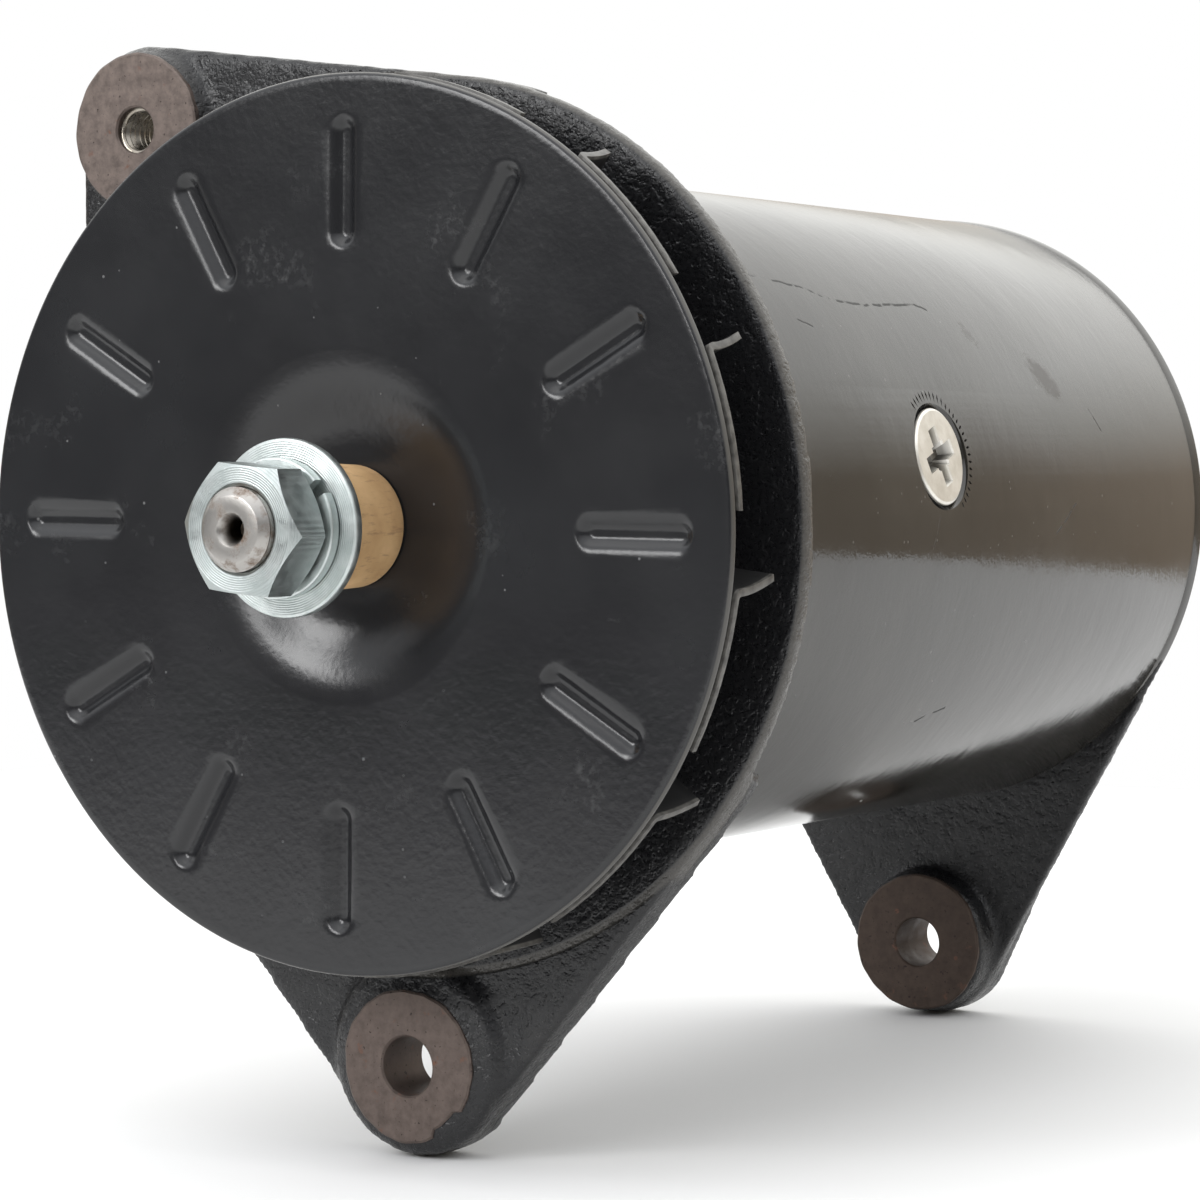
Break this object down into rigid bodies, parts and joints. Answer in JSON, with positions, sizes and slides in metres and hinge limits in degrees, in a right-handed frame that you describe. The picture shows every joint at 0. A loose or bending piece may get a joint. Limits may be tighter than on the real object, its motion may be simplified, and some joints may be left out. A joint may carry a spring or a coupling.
{
  "type": "belt-driven direct-current generator",
  "caption": "Commutator generator with a tubular steel yoke, cast end brackets, lower pivot lugs, an upper adjusting ear and a pressed cooling fan on its threaded drive shaft.",
  "frame": {"origin": "on the axis of the two lower pivot bolts, at the machined face of the drive end lug", "axes": "+Y along the shaft from the drive end to the commutator end, +Z from the pivot bolts up to the shaft, +X towards the side with the visible pole screw"},
  "size_m": [0.1419, 0.2425, 0.1795],
  "materials": {
    "rough_black_casting": "rough black paint on cast iron",
    "yoke_black_enamel": "glossy black enamel",
    "fan_satin_black": "satin black paint",
    "zinc_plate": "bright zinc plate",
    "ground_steel": "ground steel",
    "tan_cardboard": "tan card tube",
    "bare_iron": "bare laminated or forged iron",
    "varnished_winding": "varnished copper wire",
    "commutator_copper": "turned copper",
    "coil_tape": "taped copper coil",
    "porous_bronze": "oil-soaked porous bronze",
    "brush_carbon": "carbon",
    "sheet_brass": "sheet brass",
    "spring_steel": "blued spring steel",
    "red_fibre": "red fibre insulation",
    "grey_felt": "oiled felt"
  },
  "bodies": {
    "housing": {"drive_end_bracket": "rough_black_casting", "commutator_end_bracket": "rough_black_casting", "yoke": "yoke_black_enamel", "pole_screw_right": "zinc_plate", "pole_screw_left": "zinc_plate", "pole_shoe_right": "bare_iron", "pole_shoe_left": "bare_iron", "field_coil_right": "coil_tape", "field_coil_left": "coil_tape", "bearing_outer_race": "ground_steel", "felt_seal": "grey_felt", "bearing_retainer": "bare_iron", "retainer_screw_1": "zinc_plate", "retainer_screw_2": "zinc_plate", "retainer_screw_3": "zinc_plate", "commutator_end_bush": "porous_bronze", "through_bolt_1": "zinc_plate", "through_bolt_2": "zinc_plate", "brush_holder_1": "sheet_brass", "brush_holder_2": "sheet_brass", "brush_insulator": "red_fibre", "terminal_stud_1": "sheet_brass", "terminal_stud_2": "sheet_brass", "terminal_bushing_1": "red_fibre", "terminal_bushing_2": "red_fibre", "terminal_nut_1": "zinc_plate", "terminal_nut_2": "zinc_plate"},
    "armature": {"armature_shaft": "ground_steel", "woodruff_key": "ground_steel", "spacer_tube": "tan_cardboard", "plain_washer": "zinc_plate", "spring_washer": "zinc_plate", "shaft_nut": "zinc_plate", "fan_disc": "fan_satin_black", "fan_vane_plate": "fan_satin_black", "armature_core": "bare_iron", "front_end_winding": "varnished_winding", "rear_end_winding": "varnished_winding", "commutator": "commutator_copper", "bearing_inner_race": "ground_steel", "bearing_collar": "bare_iron", "bearing_circlip": "zinc_plate"},
    "ball_cage": {"ball_cage": "ground_steel"},
    "brush_a": {"brush_1": "brush_carbon"},
    "brush_b": {"brush_2": "brush_carbon"},
    "arm_a": {"brush_arm_1": "spring_steel"},
    "arm_b": {"brush_arm_2": "spring_steel"}
  },
  "joints": [
    {"name": "armature_spin", "type": "hinge", "parent": "housing", "child": "armature", "pos_m": [0, 0, 0.0857], "axis": [0, 1, 0], "continuous": true},
    {"name": "cage_spin", "type": "hinge", "parent": "housing", "child": "ball_cage", "pos_m": [0, 0, 0.0857], "axis": [0, 1, 0], "continuous": true},
    {"name": "brush_arm_1_swing", "type": "hinge", "parent": "housing", "child": "arm_a", "pos_m": [-0.02343, 0.14835, 0.11956], "axis": [0, -1, 0], "range_deg": [0, 17.5], "stiffness_Nm_per_rad": 0.08, "springref_deg": -68.75},
    {"name": "brush_arm_2_swing", "type": "hinge", "parent": "housing", "child": "arm_b", "pos_m": [0.02343, 0.14835, 0.05184], "axis": [0, -1, 0], "range_deg": [0, 17.5], "stiffness_Nm_per_rad": 0.08, "springref_deg": -68.75},
    {"name": "brush_1_slide", "type": "slide", "parent": "housing", "child": "brush_a", "axis": [-0.1788, 0, 0.9839], "range_m": [0, 0.0048]},
    {"name": "brush_2_slide", "type": "slide", "parent": "housing", "child": "brush_b", "axis": [0.1788, 0, -0.9839], "range_m": [0, 0.0048]}
  ],
  "couplings": [
    {"joint": "cage_spin", "follows": "armature_spin", "ratio": 0.3807},
    {"joint": "brush_arm_1_swing", "follows": "brush_1_slide", "rad_per_m": 62.5},
    {"joint": "brush_arm_2_swing", "follows": "brush_2_slide", "rad_per_m": 62.5}
  ]
}
